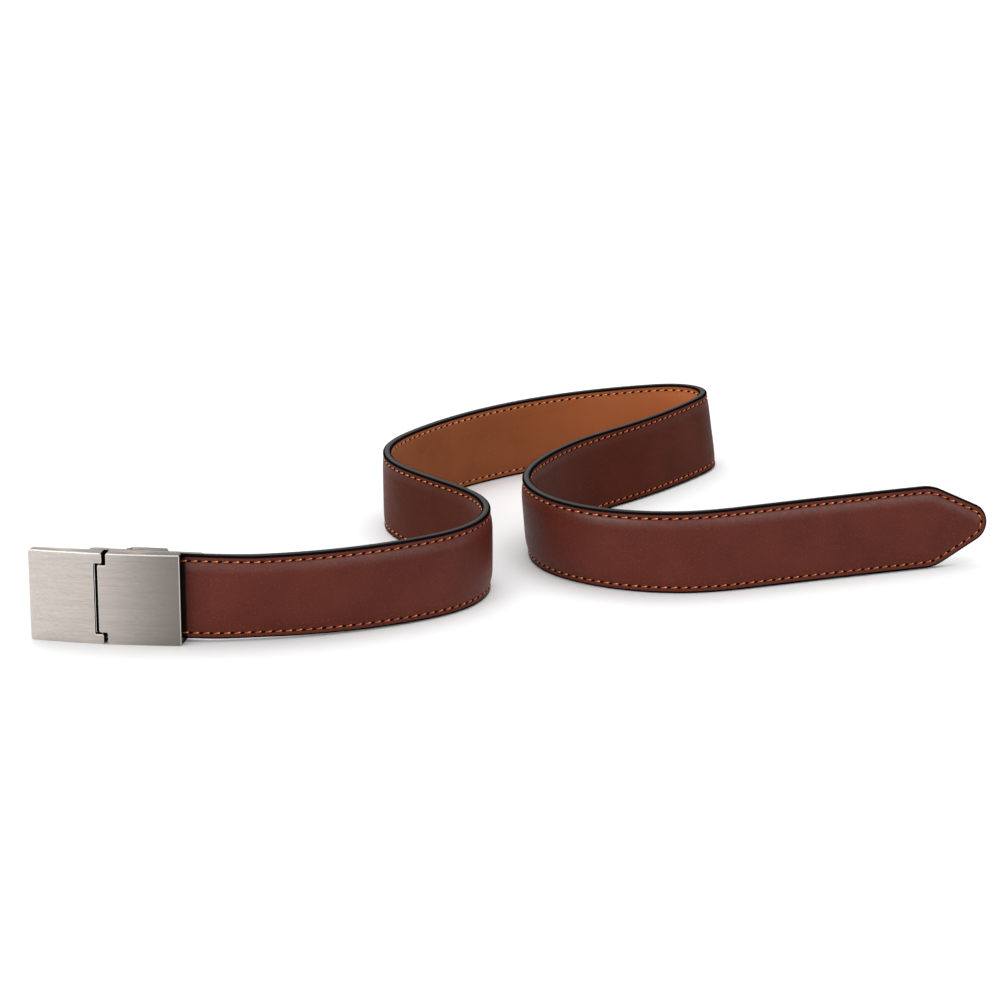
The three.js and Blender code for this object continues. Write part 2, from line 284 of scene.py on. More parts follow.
@dataclass(frozen=True)
class LeatherFinish:
    """Smooth dyed leather with fine pores, another tone outside its stitches, and painted shade on
    its end inside the buckle.
    """

    name: str
    middle: Colour
    deep: Colour
    margin: Colour
    rubbed: Colour
    roughness: float
    shine: float
    rub: float = 0.15
    # Painted light: where given, the colour lightens to this over a stretch along the strap, in
    # millimetres.
    painted_light: Colour | None = None
    painted_light_span: Span = (340.0, 530.0)
    grain: float = 0.65
    grain_share: float = 0.42
    pore: float = 0.42
    crease: float = 2.6
    mottle: float = 22.0
    relief: float = 0.08
    # Painted shade: up to held along the strap, its end inside the buckle turns this very dark
    # colour, where the slot's shadow falls.
    dark: Colour = tint(10, 6, 5)
    held: Span = (19.5, 20.4)
    margin_width: Span = (2.0, 4.6)
    sheen_start: Span = (3.0, 3.7)
    sheen_end: Span = (3.6, 8.0)
    sheen_height: Span = (-1.0, 2.0)
    sheen_roughness: float = 0.36
    sheen_tint: Colour = (1.0, 0.94, 0.92, 1.0)

    def make(self) -> bpy.types.Material:
        """Builds the material.

        Returns:
            The material, on the attributes flat and rim.
        """
        g = paint(self.name)
        flat = g.attribute("flat")
        rim = g.attribute("rim", "Fac")
        along, upward = g.axis(flat, 0), g.axis(flat, 2)
        blotch = g.noise(flat, self.mottle, 3.0)
        crease = g.noise(flat, self.crease, 6.0)
        grain = g.noise(flat, self.grain, 2.0)
        pores = g.cells(flat, self.pore)
        colour = g.mix(blotch.ramp(0.25, 0.75), self.deep, self.middle)
        # Painted light: lighter along the strap over the given stretch.
        if self.painted_light is not None:
            colour = g.mix(along.span(*self.painted_light_span), colour, self.painted_light)
        inside = rim.span(*self.margin_width)
        colour = g.mix(inside, self.margin, colour)
        fleck = (1 - pores.ramp(0.04, 0.3)) * (0.25 + crease * 0.3)
        colour = g.mix(fleck, colour, self.deep)
        colour = g.mix(grain.ramp(0.56, 0.74) * self.grain_share, colour, self.rubbed)
        # Painted shade on the end inside the buckle; shown also keeps the sheen off that end.
        shown = along.span(*self.held)
        height = pores.ramp(0.0, 0.5) * 0.5 + crease * 0.9 + grain * 0.8
        band = rim.span(*self.sheen_start) * (1 - rim.span(*self.sheen_end)) * (0.4 + crease * 1.2)
        return g.finish(
            Base_Color=g.mix(shown, self.dark, colour),
            Roughness=self.roughness + (crease - 0.5) * 0.22 + (1 - inside) * 0.05,
            Normal=g.bump(height, self.relief, 0.9),
            Specular_IOR_Level=self.shine,
            Coat_Weight=band * upward.span(*self.sheen_height) * shown * self.rub,
            Coat_Roughness=self.sheen_roughness,
            Coat_Tint=self.sheen_tint,
        )


@dataclass(frozen=True)
class PaintFinish:
    """Edge paint: glossy on the edge and matte on its two borders, which painted shade darkens."""

    name: str
    colour: Colour
    # Painted shade: the very dark colour that the two borders of the bead turn to.
    painted_shade_colour: Colour
    # How far from the bead's middle, in millimetres, the painted shade and the matte borders come
    # in.
    painted_shade: Span = (0.6, 1.3)
    lit: Span = (-8.0, 2.0)

    def make(self) -> bpy.types.Material:
        """Builds the material.

        Returns:
            The material, on the attribute flat.
        """
        g = paint(self.name)
        flat = g.attribute("flat")
        wave = g.noise(flat, 6.0, 3.0)
        fine = g.noise(flat, 0.6, 2.0)
        # Painted shade: darker on the two borders; the same mask makes them matte.
        painted_shade = g.axis(flat, 1).math("ABSOLUTE").span(*self.painted_shade)
        upper = g.axis(flat, 2).span(*self.lit)
        return g.finish(
            Base_Color=g.mix(painted_shade + (wave - 0.5) * 0.3, self.colour, self.painted_shade_colour),
            Roughness=0.95 - (1 - painted_shade) * upper * 0.4,
            Normal=g.bump(wave + fine * 0.3, 0.05, 0.6),
            Specular_IOR_Level=0.0,
            Coat_Weight=(1 - painted_shade) * upper * (0.35 + wave * 0.3),
            Coat_Roughness=0.22,
            Coat_Tint=(1.0, 0.95, 0.92, 1.0),
        )


@dataclass(frozen=True)
class ThreadFinish:
    """Twisted thread, with painted shade at its ends where it dips into its holes and in the
    grooves of its twist, and a painted highlight just before its far end.
    """

    name: str
    deep: Colour
    middle: Colour
    bright: Colour
    twist: float = 0.8
    twist_lean: float = 1.4

    def make(self) -> bpy.types.Material:
        """Builds the material.

        Returns:
            The material, on the attributes flat, along and shade.
        """
        g = paint(self.name)
        flat = g.attribute("flat")
        shade = g.attribute("shade", "Fac")
        along = g.attribute("along", "Fac")
        wound = g.axis(flat, 0) + g.axis(flat, 2) * self.twist_lean
        ply = (wound * (2 * math.pi / (self.twist * MM))).math("SINE") * 0.5 + 0.5
        fuzz = g.noise(flat, 0.25, 3.0)
        # Painted shade at the end where the thread comes out of its hole, rising to its own colour
        # along it.
        colour = g.mix((along + shade * 0.4).ramp(-1.1, 0.35), self.deep, self.middle)
        # Painted highlight just before the far end.
        painted_highlight = (along + ply * 0.25 + shade * 0.35).ramp(0.4, 1.1)
        colour = g.mix(painted_highlight, colour, self.bright)
        # Painted shade where the far end dips into its hole and in the grooves of the twist.
        colour = g.mix(along.ramp(0.8, 1.0) * 0.8 + (1 - ply) * 0.2 * fuzz, colour, self.deep)
        return g.finish(
            Base_Color=colour,
            Roughness=0.42 + fuzz * 0.2,
            Normal=g.bump(ply + fuzz * 0.3, 0.05, 0.8),
            Specular_IOR_Level=0.5,
        )


@dataclass(frozen=True)
class PaintedShadeFinish:
    """Matte, very dark colour without reflection: painted shade in a needle hole, in the face's
    seam and on the frame's shaded faces.
    """

    name: str
    colour: Colour
    crumb: Colour

    def make(self) -> bpy.types.Material:
        """Builds the material.

        Returns:
            The material, on Object coordinates.
        """
        g = paint(self.name)
        crumb = g.noise(g.here(), 0.3, 2.0)
        return g.finish(
            Base_Color=g.mix(crumb, self.colour, self.crumb),
            Roughness=0.9 + (crumb - 0.5) * 0.1,
            Specular_IOR_Level=0.0,
        )


@dataclass(frozen=True)
class BrushedFinish:
    """Satin nickel, brushed along the belt, with painted shade that darkens it towards the strap.
    """

    name: str
    light: Colour
    dark: Colour
    roughness: float
    # Painted shade: the colour darkens to this along x towards the strap, over the stretch given in
    # millimetres.
    painted_shade: Colour = tint(112, 106, 102)
    painted_shade_span: Span = (-164.0, -121.0)
    painted_shade_share: float = 0.85
    streak: float = 0.13
    run: float = 110.0
    coarse: float = 7.0
    coarse_run: float = 0.3
    stretch: float = 0.75

    def make(self) -> bpy.types.Material:
        """Builds the material.

        Returns:
            The material, on Object coordinates.
        """
        g = paint(self.name)
        fine = g.noise(g.here(Vector((1 / self.run, 1.0, 1.0))), self.streak, 4.0)
        pulled = g.here(Vector((self.coarse_run / self.run, 1.0, 1.0)))
        wide = g.noise(pulled, self.streak * self.coarse, 3.0)
        lines = fine * 0.7 + wide * 0.3
        colour = g.mix(lines.ramp(0.3, 0.7), self.dark, self.light)
        # Painted shade, darker towards the strap along x.
        towards = g.axis(g.here(), 0).span(*self.painted_shade_span)
        return g.finish(
            Base_Color=g.mix(towards * self.painted_shade_share, colour, self.painted_shade),
            Metallic=1.0,
            Roughness=self.roughness + (lines - 0.5) * 0.25,
            Normal=g.bump(lines, 0.006, 0.4),
            Anisotropic=self.stretch,
            Anisotropic_Rotation=0.25,
        )


@dataclass(frozen=True)
class PolishedFinish:
    """Polished or drawn metal with faint wear."""

    name: str
    colour: Colour
    worn: Colour
    roughness: float

    def make(self) -> bpy.types.Material:
        """Builds the material.

        Returns:
            The material, on Object coordinates.
        """
        g = paint(self.name)
        wear = g.noise(g.here(), 1.2, 4.0)
        colour = g.mix(wear.ramp(0.4, 0.75) * 0.3, self.colour, self.worn)
        return g.finish(
            Base_Color=colour,
            Metallic=1.0,
            Roughness=self.roughness + (wear - 0.5) * 0.12,
            Normal=g.bump(wear, 0.01, 0.3),
        )


@dataclass(frozen=True)
class PlasticFinish:
    """Moulded plastic with a fine matte texture."""

    name: str
    colour: Colour
    speck: Colour

    def make(self) -> bpy.types.Material:
        """Builds the material.

        Returns:
            The material, on Object coordinates.
        """
        g = paint(self.name)
        grain = g.noise(g.here(), 0.3, 3.0)
        return g.finish(
            Base_Color=g.mix(grain, self.colour, self.speck),
            Roughness=0.5 + (grain - 0.5) * 0.2,
            Normal=g.bump(grain, 0.02, 0.5),
        )


@dataclass(frozen=True)
class FloorFinish:
    """Plain white studio floor."""

    name: str = "white_floor"
    colour: Colour = (0.855, 0.86, 0.862, 1.0)

    def make(self) -> bpy.types.Material:
        """Builds the material."""
        g = paint(self.name)
        return g.finish(Base_Color=self.colour, Roughness=0.7, Specular_IOR_Level=0.2)


@dataclass(frozen=True)
class SkyFinish:
    """Room round the studio: dim in front, bright on the left and in a strip on the right."""

    name: str = "studio_sky"
    dim: float = 0.07
    behind: float = 0.28
    behind_left: float = 0.6
    above: float = 0.42
    front_panel: float = 1.2
    left: float = 2.4
    strip: float = 1.2

    def make(self) -> bpy.types.World:
        """Builds the sky.

        Returns:
            The world.
        """
        g = Graph(bpy.data.worlds.new(self.name))
        way = g.node("ShaderNodeTexCoord", output="Generated")
        x, y, z = (g.axis(way, place) for place in range(3))
        strip = x.ramp(0.55, 0.8) * (1 - y.ramp(-0.45, -0.1))
        low = 1 - z.ramp(0.4, 0.75)
        leftwards = x * -1.0
        glow = (
            self.dim
            + y.ramp(-0.1, 0.4) * self.behind
            + y.ramp(0.2, 0.6) * leftwards.ramp(0.0, 0.4) * self.behind_left
            + z.ramp(0.15, 0.8) * self.above
            + z.ramp(0.04, 0.3) * low * (1 - y.ramp(-0.5, -0.1)) * self.front_panel
            + leftwards.ramp(0.05, 0.45) * (1 - y.ramp(-0.7, -0.4)) * low * self.left
            + strip * low * self.strip
        )
        inputs = {"Color": (1.0, 1.0, 1.0, 1.0), "Strength": glow}
        return g.surface(g.node("ShaderNodeBackground", inputs=inputs))


class Finishes:
    """Every finish of the belt, made once."""

    def __init__(self) -> None:
        """Makes the materials."""
        self.brown = LeatherFinish(
            "brown_leather_dyed",
            tint(88, 38, 28),
            tint(78, 32, 23),
            tint(86, 38, 28),
            tint(120, 67, 52),
            0.44,
            0.11,
            rub=0.75,
        ).make()
        # The inner side's copy of the same brown leather: a darker base colour as painted shade,
        # and less shine.
        self.matte_brown_painted_shade = LeatherFinish(
            "brown_leather_matte_painted_shade",
            tint(77, 33, 21),
            tint(68, 28, 18),
            tint(82, 35, 21),
            tint(104, 56, 40),
            0.46,
            0.035,
        ).make()
        self.tan = LeatherFinish(
            "tan_leather_dyed",
            tint(140, 78, 42),
            tint(130, 71, 38),
            tint(158, 85, 43),
            tint(168, 104, 66),
            0.6,
            0.12,
            # Painted light: the tan panel lightens along its length.
            painted_light=tint(188, 112, 66),
        ).make()
        self.paint = PaintFinish("edge_paint_black", tint(44, 40, 39), tint(9, 9, 12)).make()
        self.orange = ThreadFinish(
            "thread_orange", tint(88, 30, 12), tint(182, 78, 30), tint(248, 176, 98)
        ).make()
        self.cream = ThreadFinish(
            "thread_cream", tint(130, 74, 44), tint(196, 140, 104), tint(248, 214, 184)
        ).make()
        # Painted shade inside the needle holes.
        self.hole = PaintedShadeFinish("needle_hole_painted_shade", tint(6, 4, 4), tint(24, 13, 9)).make()
        self.brushed = BrushedFinish(
            "nickel_brushed", tint(186, 178, 172), tint(162, 154, 148), 0.4
        ).make()
        self.polished = PolishedFinish(
            "nickel_polished", tint(204, 198, 194), tint(176, 170, 165), 0.24
        ).make()
        # Painted shade on the face's seam and on the frame's and lever's shaded faces.
        self.painted_shade_metal = PaintedShadeFinish("metal_painted_shade", tint(10, 9, 9), tint(20, 18, 18)).make()
        self.steel = PolishedFinish(
            "steel_drawn", tint(170, 168, 166), tint(140, 138, 136), 0.34
        ).make()
        self.plastic = PlasticFinish("plastic_black", tint(24, 24, 26), tint(46, 46, 49)).make()


def mesh_of(bm: bmesh.types.BMesh, name: str) -> bpy.types.Mesh:
    """Writes a bmesh into a new mesh.

    Args:
        bm: The bmesh. It is freed.
        name: The mesh's name.

    Returns:
        The mesh.
    """
    mesh = bpy.data.meshes.new(name)
    bm.to_mesh(mesh)
    bm.free()
    return mesh


def add(name: str, data: bpy.types.ID) -> bpy.types.Object:
    """Adds an object to the scene.

    Args:
        name: Its name.
        data: Its mesh, lamp or camera.

    Returns:
        The object.
    """
    made = bpy.data.objects.new(name, data)
    bpy.context.scene.collection.objects.link(made)
    return made


def everything(bm: bmesh.types.BMesh) -> list:
    """Lists a bmesh's vertices, edges and faces."""
    return bm.verts[:] + bm.edges[:] + bm.faces[:]


def extrude(
    bm: bmesh.types.BMesh, faces: list[bmesh.types.BMFace], keep: bool = False
) -> list[bmesh.types.BMVert]:
    """Extrudes faces in place.

    Args:
        bm: The mesh.
        faces: The faces.
        keep: Whether the faces stay, as one side of what was a single sheet.

    Returns:
        The new vertices, not yet moved.
    """
    made = bmesh.ops.extrude_face_region(bm, geom=faces)
    if not keep:
        bmesh.ops.delete(bm, geom=[face for face in faces if face.is_valid], context="FACES")
    return [item for item in made["geom"] if isinstance(item, bmesh.types.BMVert)]


def bevel(
    bm: bmesh.types.BMesh,
    geom: list,
    offset: float,
    segments: int,
    affect: str = "EDGES",
    clamp: bool = False,
) -> list[bmesh.types.BMFace]:
    """Rounds edges or corners.

    Args:
        bm: The mesh.
        geom: The edges, or the vertices for corners.
        offset: How far from them the rounding starts.
        segments: How many faces it has across.
        affect: EDGES or VERTICES.
        clamp: Whether roundings that would meet are made smaller.

    Returns:
        The new faces.
    """
    made = bmesh.ops.bevel(
        bm,
        geom=geom,
        affect=affect,
        offset=offset,
        segments=segments,
        profile=0.5,
        material=-1,
        clamp_overlap=clamp,
    )
    return made["faces"]


class Bench:
    """Puts finished meshes into the scene."""

    def __init__(self) -> None:
        """Finds where the buckle's own axes start in the frame of the solids."""
        low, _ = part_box("face_plate_left")
        self.start = Vector((low.x, low.y, 0.0))

    def place(self, x: float, y: float, z: float) -> Vector:
        """Turns a point in the buckle's millimetres into the frame of the solids."""
        return self.start + Vector((x, y, z)) * MM

    def settle(self, bm: bmesh.types.BMesh) -> None:
        """Moves a mesh from the buckle's millimetres into the frame of the solids."""
        for vert in bm.verts:
            vert.co = self.place(*vert.co)

    def publish(
        self,
        bm: bmesh.types.BMesh,
        name: str,
        materials: Sequence[bpy.types.Material],
        body: Body = Body.BELT,
        slot: Slot | None = None,
        replaces: Iterable[str] = (),
        crease: float = 40.0,
        flatten: bool = False,
    ) -> None:
        """Makes an object of a mesh that is in place.

        Args:
            bm: The mesh, in metres. It is freed.
            name: The piece's name.
            materials: Its materials, in the order of the faces' indices.
            body: The body that it rides on.
            slot: The record's slot that its finish comes from. It is not used.
            replaces: The solids that it stands for.
            crease: The angle in degrees from which an edge stays sharp.
            flatten: Whether large faces keep their own shading beside small ones.
        """
        mesh = mesh_of(bm, name)
        for material in materials:
            mesh.materials.append(material)
        mesh.shade_smooth()
        mesh.set_sharp_from_angle(angle=math.radians(crease))
        piece = add(name, mesh)
        if flatten:
            weighting = piece.modifiers.new("face_weighting", "WEIGHTED_NORMAL")
            weighting.keep_sharp = True
            weighting.weight = 100
        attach(piece, body.value)
        if replaces:
            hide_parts(*replaces)
        LOG.info("%s: %d faces on %s", name, len(mesh.polygons), body.value)


@dataclass(frozen=True)
class Stretch:
    """Stretch of the strap's route."""

    name: str
    share: float
    turn: float
    lean: float


STRETCHES = (
    Stretch("held in the buckle", 0.026, 0, 0),
    Stretch("leaving the buckle", 0.018, 13.5, 0),
    Stretch("first run", 0.103, 31, -0.085),
    Stretch("first bend", 0.084, 95, 0),
    Stretch("short back run", 0.047, -5, 0),
    Stretch("second bend", 0.058, -66, 0.07),
    Stretch("long back run", 0.184, -50, -0.045),
    Stretch("hairpin", 0.031, -130, -0.015),
    Stretch("return run", 0.090, -16, -0.17),
    Stretch("easing run", 0.075, 27, -0.085),
    Stretch("third bend", 0.076, 77, -0.07),
    Stretch("third bend, opening", 0.072, 53, -0.115),
    Stretch("tail", 0.099, -2, 0.045),
    Stretch("point", 0.037, 0, 0.115),
)


@dataclass
class Route:
    """Line that the strap follows, with its lean and its lift off the floor."""

    bench: Bench
    length: float = 862.0
    width: float = 35.0
    thickness: float = 3.5
    start_x: float = 42.0
    start_y: float = 9.24
    lift: float = 1.25
    lift_share: float = 0.22
    ease: float = 24.0
    end_lean: float = 0.115
    stretches: tuple[Stretch, ...] = STRETCHES
    starts: list[float] = field(init=False)
    headings: list[float] = field(init=False)
    leans: list[float] = field(init=False)
    marks: list[tuple[float, float, float, float, float]] = field(init=False)

    def __post_init__(self) -> None:
        """Walks the route once, a millimetre at a time."""
        self.starts, self.headings = [0.0], [0.0]
        for stretch in self.stretches:
            self.starts.append(self.starts[-1] + stretch.share * self.length)
            self.headings.append(self.headings[-1] + math.radians(stretch.turn))
        self.leans = [stretch.lean for stretch in self.stretches] + [self.end_lean]
        self.marks = []
        x, y = self.start_x, self.start_y
        for s in range(int(self.length) + 3):
            heading = self._eased(self.headings, s)
            self.marks.append((x, y, heading, self._tilt(s), self._lift(s)))
            middle = (heading + self._eased(self.headings, s + 1)) / 2
            x += math.cos(middle)
            y += math.sin(middle)

    def _along(self, values: Sequence[float], s: float) -> float:
        """Reads a value that runs straight between the stretches' ends.

        Args:
            values: The values at the ends.
            s: The place on the strap.

        Returns:
            The value at s.
        """
        i = 0
        while i < len(self.starts) - 2 and s > self.starts[i + 1]:
            i += 1
        t = (s - self.starts[i]) / (self.starts[i + 1] - self.starts[i])
        return values[i] + (values[i + 1] - values[i]) * clamped(t)

    def _eased(self, values: Sequence[float], s: float, count: int = 12) -> float:
        """Reads a value averaged over the easing length, in that count of steps."""
        places = [s + self.ease * (i / count - 0.5) for i in range(count + 1)]
        return sum(self._along(values, place) for place in places) / len(places)

    def _tilt(self, s: float) -> float:
        """Gives the lean of the strap at s in radians, none inside the buckle."""
        outside = clamped((s - self.starts[1]) / self.ease)
        return math.asin(self._eased(self.leans, s)) * outside

    def _lift(self, s: float) -> float:
        """Gives the height of the strap's lower edge at s."""
        done = clamped((s - self.starts[1]) / (self.lift_share * self.length))
        return self.lift * (1 - done) ** 2

    def place(self, s: float, o: float, w: float) -> Vector:
        """Puts a point of the flat strap on the route.

        Args:
            s: Along the strap.
            o: To the left of its middle.
            w: Up from its middle line.

        Returns:
            The point in metres, in the frame of the solids.
        """
        i = min(len(self.marks) - 2, max(0, math.floor(s)))
        t = s - i
        x, y, heading, tilt, lift = (
            a + (b - a) * t for a, b in zip(self.marks[i], self.marks[i + 1])
        )
        side = o * math.cos(tilt) + w * math.sin(tilt)
        up = (w + self.width / 2) * math.cos(tilt) - o * math.sin(tilt)
        return self.bench.place(
            x - math.sin(heading) * side,
            y + math.cos(heading) * side,
            lift + up + self.thickness / 2 * abs(math.sin(tilt)),
        )

    def wrap(self, bm: bmesh.types.BMesh) -> None:
        """Keeps each vertex's flat place in an attribute and lays it on the route.

        Args:
            bm: The flat mesh, with s, o and w as its coordinates.
        """
        flat = bm.verts.layers.float_vector.new("flat")
        for vert in bm.verts:
            vert[flat] = vert.co * MM
            vert.co = self.place(*vert.co)


@dataclass(frozen=True)
class Spot:
    """Place on a line along the strap's lower edge, with the line's slope there."""

    s: float
    w: float
    slope: float


@dataclass(frozen=True)
class Outline:
    """Flat outline of the strap: long straight edges and a rounded point."""

    length: float = 862.0
    width: float = 35.0
    tip: float = 24.7
    nose: float = 8.3
    shoulder: float = 18.0
    step: float = 2.0
    fine_step: float = 0.9

    @property
    def slope(self) -> float:
        """Slope of the point's straight sides."""
        reach = math.hypot(self.width / 2, self.tip - self.nose)
        return math.asin(self.width / 2 / reach) - math.asin(self.nose / reach)

    @property
    def straight(self) -> float:
        """Length of the straight edge."""
        return self.length - self.tip - self.shoulder * math.tan(self.slope / 2)

    @property
    def side(self) -> float:
        """Length of the point's straight side."""
        rise = self.width / 2 - self.shoulder * (1 - math.cos(self.slope))
        return (rise - self.nose * math.cos(self.slope)) / math.sin(self.slope)

    def run(self, inset: float) -> float:
        """Gives the length of the line that far inside, from the buckle to the nose."""
        nose = (self.nose - inset) * (math.pi / 2 - self.slope)
        return self.straight + ((self.shoulder - inset) * self.slope + nose) + self.side

    def spot(self, p: float, inset: float) -> Spot:
        """Finds a place on the line that runs inside the lower edge.

        Args:
            p: Length along that line.
            inset: How far inside the edge it runs.

        Returns:
            The place.
        """
        low = -self.width / 2
        if p <= self.straight:
            return Spot(p, low + inset, 0.0)
        p -= self.straight
        radius = self.shoulder - inset
        turn = min(p / radius, self.slope)
        s = self.straight + radius * math.sin(turn)
        w = low + self.shoulder - radius * math.cos(turn)
        p -= radius * self.slope
        if p <= 0:
            return Spot(s, w, turn)
        if p <= self.side:
            return Spot(s + p * math.cos(turn), w + p * math.sin(turn), turn)
        radius = self.nose - inset
        turn = min(self.slope + (p - self.side) / radius, math.pi / 2)
        centre = self.length - self.nose
        return Spot(centre + radius * math.sin(turn), -radius * math.cos(turn), turn)

    def depth(self, spot: Spot) -> float:
        """Gives the way across the strap from a spot on its edge to the middle line."""
        return self.nose if spot.slope > self.slope else -spot.w / math.cos(spot.slope)

    def stations(self, start: float, end: float) -> list[Spot]:
        """Lists the places on the lower edge at which a mesh has a line across.

        Args:
            start: Where the piece starts.
            end: Where it ends, or the strap's length for the point.

        Returns:
            The places.
        """
        last = min(end, self.straight)
        count = math.ceil((last - start) / self.step)
        marks = [start + (last - start) * i / count for i in range(count + 1)]
        if end > self.straight:
            rest = self.run(0.0) - self.straight
            count = math.ceil(rest / self.fine_step)
            marks += [self.straight + rest * (i + 1) / count for i in range(count)]
        return [self.spot(p, 0.0) for p in marks]


class Sheet:
    """Makes flat pieces of the strap from the lower edge's half and its mirror image."""

    @classmethod
    def make(
        cls, spots: Sequence[Spot], rows: int, section: Callable[[Spot, int], Span]
    ) -> bmesh.types.BMesh:
        """Makes a whole closed piece.

        Args:
            spots: Places on the lower edge.
            rows: Points of the section.
            section: Gives the way in from the edge and the o of each point at a spot.

        Returns:
            The flat mesh, with the way in from the edge in the attribute rim.
        """
        bm = cls.half(spots, rows, section)
        cls.close(bm)
        return bm

    @staticmethod
    def half(
        spots: Sequence[Spot], rows: int, section: Callable[[Spot, int], Span]
    ) -> bmesh.types.BMesh:
        """Makes the lower half as a grid of places along it and rows of its section.

        Args:
            spots: Places on the lower edge.
            rows: Points of the section.
            section: Gives the way in from the edge and the o of each point at a spot.

        Returns:
            The flat mesh, with the way in from the edge in the attribute rim.
        """
        bm = bmesh.new()
        bmesh.ops.create_grid(bm, x_segments=len(spots) - 1, y_segments=rows - 1, size=1.0)
        rim = bm.verts.layers.float.new("rim")
        for vert in bm.verts:
            spot = spots[round((vert.co.x + 1) / 2 * (len(spots) - 1))]
            inward, o = section(spot, round((vert.co.y + 1) / 2 * (rows - 1)))
            s = spot.s - math.sin(spot.slope) * inward
            w = spot.w + math.cos(spot.slope) * inward
            vert.co = (s, o, min(w, 0.0))
            vert[rim] = inward * MM
        return bm

    @staticmethod
    def close(bm: bmesh.types.BMesh) -> None:
        """Adds the upper half, joins the two and closes the cut ends.

        Args:
            bm: The lower half.
        """
        bmesh.ops.remove_doubles(bm, verts=bm.verts[:], dist=NEAR)
        bmesh.ops.mirror(bm, geom=everything(bm), axis="Z", merge_dist=10 * NEAR)
        bmesh.ops.remove_doubles(bm, verts=bm.verts[:], dist=NEAR)
        ends = [edge for edge in bm.edges if edge.is_boundary]
        bmesh.ops.holes_fill(bm, edges=ends, sides=0)
        bmesh.ops.recalc_face_normals(bm, faces=bm.faces[:])


@dataclass
class Layer:
    """One leather layer of the strap, crowned between its stitch lines."""

    route: Route
    outline: Outline
    name: str
    side: Side
    start: float
    end: float
    slot: Slot
    finish: bpy.types.Material
    crown: float
    face: float = 1.75
    back: float = 0.01
    edge: float = 0.42
    edge_end: float = 1.1
    shoulder: float = 0.15
    shoulder_width: float = 0.25
    shoulder_drop: float = 0.02
    seam: float = 2.6
    channel: float = 0.22
    channel_half: float = 0.7
    channel_shape: tuple[Span, ...] = (
        (0.55, 0.62),
        (0.2, 1.0),
        (-0.2, 1.0),
        (-0.55, 0.62),
        (-1.0, 0.0),
    )
    grip_end: float = 20.0
    crown_start: float = 40.0
    crown_steps: int = 12
    crown_spacing: float = 1.6
    puff: float = 6.0

    def section(self, spot: Spot) -> list[Span]:
        """Works out the section at a spot, from the middle of the face round to the back.

        Args:
            spot: The place on the lower edge.

        Returns:
            Way in from the edge and height over the middle of each point.
        """
        depth = self.outline.depth(spot)
        free = clamped((spot.s - self.grip_end) / (self.crown_start - self.grip_end))
        crown = self.crown * free * min(1.0, depth / (self.outline.width / 2))
        inner = self.seam + self.channel_half
        points = []
        for i in range(self.crown_steps + 1):
            t = (1 - i / self.crown_steps) ** self.crown_spacing
            rise = crown * (1 - (1 - t) ** self.puff)
            points.append((inner + (depth - inner) * t, self.face + rise))
        for along, deep in self.channel_shape:
            points.append((self.seam + self.channel_half * along, self.face - self.channel * deep))
        points += [
            (self.edge_end, self.face),
            (self.edge + self.shoulder_width, self.face - self.shoulder_drop),
            (self.edge, self.face - self.shoulder),
            (self.edge, self.back),
            (depth / 2, self.back),
            (depth, self.back),
        ]
        return points

    def build(self, bench: Bench, cut: Callable[[bmesh.types.BMesh], None] | None = None) -> None:
        """Builds the layer.

        Args:
            bench: Where it goes.
            cut: What is cut into the flat layer, if anything.
        """
        spots = self.outline.stations(self.start, self.end)
        sections = {spot: self.section(spot) for spot in spots}
        rows = len(sections[spots[0]])
        sign = self.side.value

        def point(spot: Spot, row: int) -> Span:
            """Reads a point of the section."""
            inward, height = sections[spot][row]
            return inward, sign * height

        bm = Sheet.make(spots, rows, point)
        if cut is not None:
            cut(bm)
        self.route.wrap(bm)
        node = "strap_" + self.name
        bench.publish(bm, self.name, [self.finish], slot=self.slot, replaces=[node])


@dataclass(frozen=True)
class TrackGroove:
    """Groove in the strap's left side for the ratchet track."""

    start: float
    end: float
    half_width: float = 6.8
    floor: float = 0.85

    def cut(self, bm: bmesh.types.BMesh) -> None:
        """Sinks the groove into the flat layer.

        Args:
            bm: The flat layer.
        """
        planes = [((self.start, 0, 0), (1, 0, 0)), ((self.end, 0, 0), (1, 0, 0))]
        planes += [((0, 0, z), (0, 0, 1)) for z in (-self.half_width, self.half_width)]
        for place, normal in planes:
            bmesh.ops.bisect_plane(
                bm, geom=everything(bm), dist=NEAR, plane_co=place, plane_no=normal
            )
        inside = []
        for face in bm.faces:
            s, o, w = face.calc_center_median()
            if self.start < s < self.end and abs(w) < self.half_width and o > self.floor:
                inside.append(face)
        for vert in extrude(bm, inside):
            vert.co.y = self.floor
        bmesh.ops.recalc_face_normals(bm, faces=bm.faces[:])


@dataclass
class EdgePaint:
    """Bead of paint all round the strap's edge, over both layers."""

    route: Route
    outline: Outline
    half_thickness: float = 1.83
    rise: float = 0.95
    sink: float = 0.12
    tuck: float = 0.02
    roundness: float = 2.5
    steps: int = 14

    def build(self, bench: Bench, finish: bpy.types.Material) -> None:
        """Builds the bead.

        Args:
            bench: Where it goes.
            finish: Its material.
        """
        ring = []
        for i in range(self.steps + 1):
            angle = math.pi * i / self.steps
            across, up = math.cos(angle), math.sin(angle)
            o = math.copysign(abs(across) ** (2 / self.roundness), across)
            inward = self.rise * (1 - abs(up) ** (2 / self.roundness))
            ring.append((inward, o * self.half_thickness))
        ring.append((self.rise + self.tuck, -self.half_thickness + self.sink))
        ring.append((self.rise + self.tuck, self.half_thickness - self.sink))
        ring.append(ring[0])
        spots = self.outline.stations(0.0, self.outline.length)
        bm = Sheet.make(spots, len(ring), lambda spot, row: ring[row])
        self.route.wrap(bm)
        bench.publish(bm, "edge_paint", [finish], crease=60.0)


